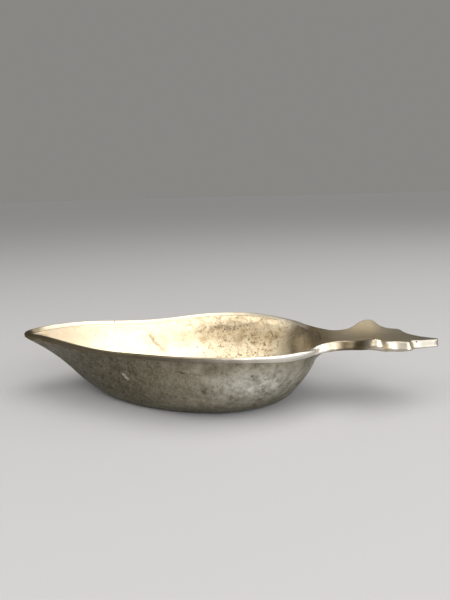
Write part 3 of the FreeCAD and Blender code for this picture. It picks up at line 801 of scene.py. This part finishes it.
        # greyer towards the handle end: partly greyer metal, partly painted shade
        icol = mix(nt, times(nt, ramp(nt, calc(nt, "ADD", grey, times(nt, blotch, 0.6)), 0.30, 1.30), 0.94), icol,
                   mix(nt, ramp(nt, calc(nt, "ADD", grey, times(nt, mottle, 0.4)), 0.85, 1.25), GREY_A, GREY_B))
        stain = attribute(nt, "stain")
        rag = calc(nt, "MULTIPLY", stain, ramp(nt, noise(nt, co, 900, 7, 0.75), 0.40, 0.58, 0.15, 1.0), True)
        icol = mix(nt, times(nt, rag, 0.85), icol, (0.13, 0.085, 0.045))
        col = mix(nt, ins, col, icol)
        rgh = calc(nt, "ADD", rgh, times(nt, ins, 0.06))
        rgh = calc(nt, "ADD", rgh, times(nt, calc(nt, "MAXIMUM", rag, fl), 0.16))
        hgt = calc(nt, "SUBTRACT", hgt, times(nt, calc(nt, "MAXIMUM", rag, fl), 0.10))
    col = mix(nt, times(nt, pin, 0.85), col, (0.035, 0.030, 0.025))
    rgh = calc(nt, "ADD", rgh, times(nt, pin, 0.3))
    rgh = calc(nt, "SUBTRACT", rgh, times(nt, scratch, 0.08), True)
    nt.links.new(col, sh.inputs["Base Color"])
    nt.links.new(rgh, sh.inputs["Roughness"])
    hgt = calc(nt, "ADD", hgt, times(nt, fine, 0.06))
    hgt = calc(nt, "SUBTRACT", hgt, times(nt, pin, 0.5))
    hgt = calc(nt, "SUBTRACT", hgt, times(nt, scratch, 0.08))
    b = nt.nodes.new("ShaderNodeBump")
    b.inputs["Strength"].default_value = 0.5
    b.inputs["Distance"].default_value = 0.00028
    nt.links.new(hgt, b.inputs["Height"])
    nt.links.new(b.outputs[0], sh.inputs["Normal"])
    return m


def paint(obj, name, values):
    a = obj.data.attributes.new(name, "FLOAT", "POINT")
    a.data.foreach_set("value", np.clip(values, 0, 1).astype(np.float32))


def spots(P, marks):
    """Strength at each point of a list of (points, radius, strength) strokes."""
    out = np.zeros(len(P))
    for line, rad, strength in marks:
        line = np.array(line, float).reshape(-1, 3)
        d = np.full(len(P), 1e9)
        if len(line) == 1:
            d = np.linalg.norm(P - line[0], axis=1)
        for a, b in zip(line[:-1], line[1:]):
            ab = b - a
            t = np.clip(((P - a) @ ab) / (ab @ ab), 0, 1)
            d = np.minimum(d, np.linalg.norm(P - a - t[:, None] * ab, axis=1))
        out = np.maximum(out, strength * (1 - soft(d, rad * 0.35, rad)))
    return out


# OLIVE and MOSS: the painted shade of the outside towards the lip and the foot; PALE: a painted reflection patch and
# rubbed spots
OLIVE, MOSS, PALE = (0.215, 0.194, 0.132), (0.080, 0.068, 0.041), (0.86, 0.85, 0.79)
# CREAM and STRAW: the inside's warm metal, lightened into a painted highlight
CREAM, STRAW, TAN, BROWN = (0.90, 0.81, 0.64), (0.82, 0.71, 0.51), (0.46, 0.34, 0.19), (0.20, 0.125, 0.055)
# GREY_A and GREY_B: the greyer inside towards the handle end, partly painted shade
GREY_A, GREY_B = (0.42, 0.385, 0.315), (0.17, 0.132, 0.080)

P = points(bowl_o)
N = np.empty(len(P) * 3)
bowl_o.data.vertices.foreach_get("normal", N)
N = N.reshape(-1, 3)
axis_pt = np.stack([np.clip(P[:, 0] * 0.8, -30, 30), 0 * P[:, 0], np.full(len(P), 34.0)], -1)
facing = ((axis_pt - P) * N).sum(-1)
inside = (facing > 0).astype(float)
outside = 1 - inside
paint(bowl_o, "inside", inside)
paint(bowl_o, "speckled", inside * (0.25 + 0.75 * soft(P[:, 0], -14, 8)) * soft(P[:, 0], -40, -16)
      * (1 - 0.6 * soft(P[:, 0], 34, 44)))
# greyer inside towards the handle end: partly greyer metal, partly painted shade
paint(bowl_o, "grey", inside * soft(P[:, 0] + 2.5 * SLOW(P * 3.0) + 1.5 * HAMMER(P), 23, 44))
# painted shade: the outside darker towards the lip and in a band low by the foot
paint(bowl_o, "outer_shade", outside * np.maximum(1 - soft(P[:, 0], -24, 20), 0.75 * (1 - soft(P[:, 2], 2.0, 9.0))))
paint(bowl_o, "mouthward", inside * (1 - soft(P[:, 0], -62, -30)))
# a pale painted reflection on the outside's near flank
paint(bowl_o, "pale", outside * np.exp(-((P[:, 0] - 25) / 13) ** 2 - ((P[:, 2] - 12.5) / 5.5) ** 2))
STAINS = [
    ([(-22.4, 18.7, 16.2), (-21.0, 19.2, 15.1), (-20.7, 18.9, 14.4)], 0.8, 0.42),
    ([(-20.0, 19.1, 13.6), (-18.4, 19.2, 12.0), (-17.3, 19.0, 10.5)], 0.75, 0.42), ([(-17.0, 19.1, 10.2)], 1.2, 0.5),
    ([(-56.4, 7.4, 23.0), (-55.2, 7.9, 22.7)], 0.9, 0.55), ([(-54.2, 8.5, 22.6)], 0.9, 0.7), ([(-52.9, 9.0, 22.5)], 0.8, 0.6),
    ([(-51.4, 9.6, 22.6)], 0.7, 0.6),
    ([(2.0, 27.4, 17.6), (6.5, 28.1, 18.4), (10.5, 28.3, 18.0)], 1.1, 0.65),
    ([(8.5, 28.2, 17.8), (12.5, 28.3, 17.6)], 1.5, 0.8), ([(13.0, 28.4, 18.2), (18.6, 28.1, 19.6)], 1.0, 0.75),
    ([(24.3, 28.4, 23.2), (23.7, 27.6, 22.3), (22.9, 27.2, 21.4)], 0.7, 0.8), ([(23.8, 26.8, 18.6)], 1.1, 0.75),
]
TANS = [
    ([(-22.6, 18.7, 16.4), (-21.0, 19.2, 15.3), (-20.6, 18.9, 14.3)], 1.1, 1.0),
    ([(-20.2, 19.0, 13.8), (-18.4, 19.2, 12.2), (-17.6, 19.0, 10.6)], 1.0, 1.0), ([(-17.2, 19.1, 10.3)], 1.5, 1.0),
    ([(-30.9, 15.0, 15.6)], 3.2, 0.55), ([(-25.9, 15.6, 11.3)], 2.0, 0.45), ([(-6.3, 23.1, 9.4)], 1.5, 0.8),
    ([(-8.7, 24.0, 16.4)], 2.2, 0.6), ([(-2.0, 26.0, 14.0)], 3.0, 0.6), ([(-7.5, 25.6, 20.0)], 3.6, 0.8),
    ([(-13, 24.0, 21.5), (0, 28.2, 21.9), (26, 27.5, 21.8)], 3.4, 0.75), ([(5.0, 27.5, 15.0), (20.0, 26.5, 14.5)], 5.5, 0.6),
    ([(-62, 3.2, 22.5), (-46, 11.5, 22.0)], 2.4, 0.4), ([(28.5, 24.0, 16.0)], 5.5, 0.7),
]
SCARS = [
    ([(23.7, -27.2, 16.6)], 0.75, 1.0), ([(8.2, -28.4, 11.6), (8.6, -28.2, 10.7)], 0.75, 0.95),
    ([(-0.4, -28.8, 18.1), (3.0, -29.2, 17.7)], 0.35, 0.8), ([(4.4, -29.3, 17.6), (8.0, -29.6, 17.5)], 0.28, 0.6),
    ([(-52.0, -9.5, 22.0), (-51.0, -9.9, 22.1)], 0.5, 0.8),
]
RUBBED = [([(-20.2, -20.5, 13.6), (-19.3, -20.9, 12.5)], 1.1, 0.5), ([(-24.0, -19.6, 17.5), (-20.5, -21.0, 17.3)], 0.5, 0.5)]
paint(bowl_o, "stain", spots(P, STAINS) * inside)
paint(bowl_o, "tan", spots(P, TANS) * inside)
paint(bowl_o, "scar", spots(P, SCARS) * outside)
paint(bowl_o, "spot", spots(P, RUBBED) * outside)
# the pale painted reflection, with rubbed spots added to it
pale_sheen = np.exp(-((P[:, 0] - 25) / 13) ** 2 - ((P[:, 2] - 12.5) / 5.5) ** 2)
bowl_o.data.attributes["pale"].data.foreach_set(
    "value", (np.maximum(pale_sheen, 1.4 * spots(P, RUBBED)) * outside).astype(np.float32))

metal_bowl = pewter("pewter_bowl", (0.44, 0.408, 0.310), (0.285, 0.260, 0.187), (0.135, 0.116, 0.074), (0.36, 0.52), 0.55,
                    marks=True)
Q = points(handle_o)
# painted shade at the handle's root
paint(handle_o, "root", (1 - soft(Q[:, 0] + 1.2 * SLOW(Q * 3.0), 43.5, 53)) * soft(Q[:, 0], 30, 40)
      * (1 - soft(np.abs(Q[:, 1]), 12, 17)))
HN = np.empty(len(Q) * 3)
handle_o.data.vertices.foreach_get("normal", HN)
HN = HN.reshape(-1, 3)
side_on = 1 - soft(HN[:, 2], 0.55, 0.92)
AY = np.abs(Q[:, 1])
away_ = np.stack([Q[:, 0] - BASE_MID, Q[:, 1]], -1)
away_ /= np.maximum(np.linalg.norm(away_, axis=1, keepdims=True), 1e-6)
outward = soft((away_ * HN[:, :2]).sum(-1), 0.0, 0.3) * (Q[:, 1] < 0)
paint(handle_o, "tip", soft(Q[:, 0], 64, 72) * (0.55 + 0.45 * soft(Q[:, 0], 76, 80)))
# painted highlight on the near side's outward faces of the shoulder and neck
paint(handle_o, "painted_highlight", side_on * outward * soft(AY, 8.2, 10.5) * soft(Q[:, 0], 12, 38) * (1 - soft(Q[:, 0], 46, 50.5)))
# painted shade on the side faces of the recess beyond the neck
paint(handle_o, "recess_shade", side_on * soft(Q[:, 0] + 0.6 * SLOW(Q * 2.0), 49.5, 53) * (1 - soft(Q[:, 0], 58.5, 62)) * soft(AY, 4, 6))
# gold painted highlight on the top of the far lobe
paint(handle_o, "gold_highlight", (1 - side_on) * np.exp(-((Q[:, 0] - 62) / 7.5) ** 2 - ((Q[:, 1] - 8.5) / 7.0) ** 2))
# a small pale spot on the neck's top
paint(handle_o, "pale_speck", spots(Q, [([(55.1, 3.7, 22.3)], 0.55, 0.9)]))
paint(handle_o, "cut", spots(Q, [([(81.4, -3.4, 22.2), (81.6, -4.2, 20.6)], 0.22, 0.8)]))

R_ = points(rim_o)
RN = np.empty(len(R_) * 3)
rim_o.data.vertices.foreach_get("normal", RN)
RN = RN.reshape(-1, 3)
rim_away = np.stack([R_[:, 0] - BASE_MID, R_[:, 1]], -1)
rim_away /= np.maximum(np.linalg.norm(rim_away, axis=1, keepdims=True), 1e-6)
# painted highlight on the edge's outward faces on the near side towards the handle
paint(rim_o, "painted_highlight", (1 - soft(RN[:, 2], 0.55, 0.92)) * soft((rim_away * RN[:, :2]).sum(-1), 0.0, 0.3)
      * (R_[:, 1] < 0) * soft(R_[:, 0], 12, 38))
rim_out = soft((rim_away * RN[:, :2]).sum(-1), -0.15, 0.35)
# cream painted highlight on the edge's top and inner faces towards the lip
paint(rim_o, "cream", (1 - rim_out) * (1 - soft(R_[:, 0], 0, 24)) * (0.45 + 0.55 * soft(R_[:, 0], -62, -44)))
# painted shade on the edge's outward faces towards the lip
paint(rim_o, "outer_shade", np.maximum(rim_out, 1 - soft(R_[:, 0], -63, -59)) * (1 - soft(R_[:, 0], -6, 30)))
metal_rim = pewter("pewter_edge", (0.60, 0.55, 0.46), (0.47, 0.42, 0.335), (0.25, 0.215, 0.155), (0.30, 0.44), 0.30,
                   lip=True, rim_tint=(0.64, 0.57, 0.45))
metal_handle = pewter("pewter_handle", (0.64, 0.58, 0.48), (0.50, 0.445, 0.35), (0.30, 0.25, 0.17), (0.30, 0.44), 0.30,
                      root=True, rim_tint=(0.74, 0.64, 0.48))
metal_solder = pewter("solder_grey", (0.42, 0.405, 0.35), (0.32, 0.305, 0.26), (0.16, 0.145, 0.11), (0.40, 0.55), 0.3)

for o, mat, cad, slot in ((bowl_o, metal_bowl, "bowl", "bowl_metal"), (rim_o, metal_rim, "rim_wire", "edge_metal"),
                          (handle_o, metal_handle, "handle", "handle_metal"),
                          (solder_o, metal_solder, "handle_solder_fillet", "solder")):
    o.data.materials.clear()
    o.data.materials.append(mat)
    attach(o, "root")
    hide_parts(cad)

# ------------------------------------------------------------------ floor, light, camera
bpy.ops.mesh.primitive_plane_add(size=80, location=(0, 0, 0))
floor = bpy.context.object
floor.name = "floor"
fm = bpy.data.materials.new("pale_floor")
fm.use_nodes = True
fs = fm.node_tree.nodes["Principled BSDF"]
fs.inputs["Base Color"].default_value = (0.44, 0.445, 0.47, 1)
fs.inputs["Roughness"].default_value = 0.8
floor.data.materials.append(fm)

world = bpy.data.worlds.new("studio")
bpy.context.scene.world = world
world.use_nodes = True
bg = world.node_tree.nodes["Background"]
bg.inputs["Color"].default_value = (0.25, 0.243, 0.232, 1)
bg.inputs["Strength"].default_value = 1.0


def area(name, loc, aim, size, power, color):
    d = bpy.data.lights.new(name, "AREA")
    d.shape = "RECTANGLE"
    d.size, d.size_y = size
    d.energy = power
    d.color = color
    o = bpy.data.objects.new(name, d)
    bpy.context.scene.collection.objects.link(o)
    o.location = loc
    o.rotation_euler = (Vector(aim) - Vector(loc)).to_track_quat("-Z", "Y").to_euler()
    return o


area("overhead", (0.12, -0.13, 0.70), (0.02, 0, 0), (0.75, 0.72), 1.8, (1.0, 0.95, 0.85))
area("left", (-0.31, -0.27, 0.42), (0.015, 0.02, 0.01), (0.50, 0.35), 1.15, (1.0, 0.96, 0.88))
area("front_right", (0.43, -0.58, 0.38), (0.04, 0, 0.02), (0.80, 0.40), 4.2, (1.0, 0.985, 0.96))
area("right", (0.74, -0.02, 0.40), (0.04, 0, 0.02), (0.55, 0.40), 2.2, (1.0, 0.98, 0.95))
sky = bpy.data.lights.new("sky", "SUN")
sky.energy = 1.0
sky.angle = math.radians(50)
sky.color = (1.0, 0.96, 0.88)
sky_o = bpy.data.objects.new("sky", sky)
bpy.context.scene.collection.objects.link(sky_o)
sky_o.rotation_euler = Vector((0.20, 0.02, 1.0)).to_track_quat("Z", "Y").to_euler()

cam = bpy.data.cameras.new("camera")
co = bpy.data.objects.new("camera", cam)
bpy.context.scene.collection.objects.link(co)
roll = math.radians(1.47)
fwd = Vector((-0.1365, 0.9709, -0.1968)).normalized()
rt = Vector((0.9903, 0.1392, 0.0)).normalized()
up0 = rt.cross(fwd).normalized()
right = (rt * math.cos(roll) - up0 * math.sin(roll)).normalized()
up = (rt * math.sin(roll) + up0 * math.cos(roll)).normalized()
R = Matrix((right, up, -fwd)).transposed()
co.matrix_world = Matrix.Translation(Vector((37.4, -180.8, 72.0)) * MM) @ R.to_4x4()
cam.lens = 31.08
cam.sensor_width = 36.0
cam.sensor_fit = "AUTO"
cam.clip_start = 0.01
bpy.context.scene.camera = co
bpy.context.scene.view_settings.view_transform = "Standard"
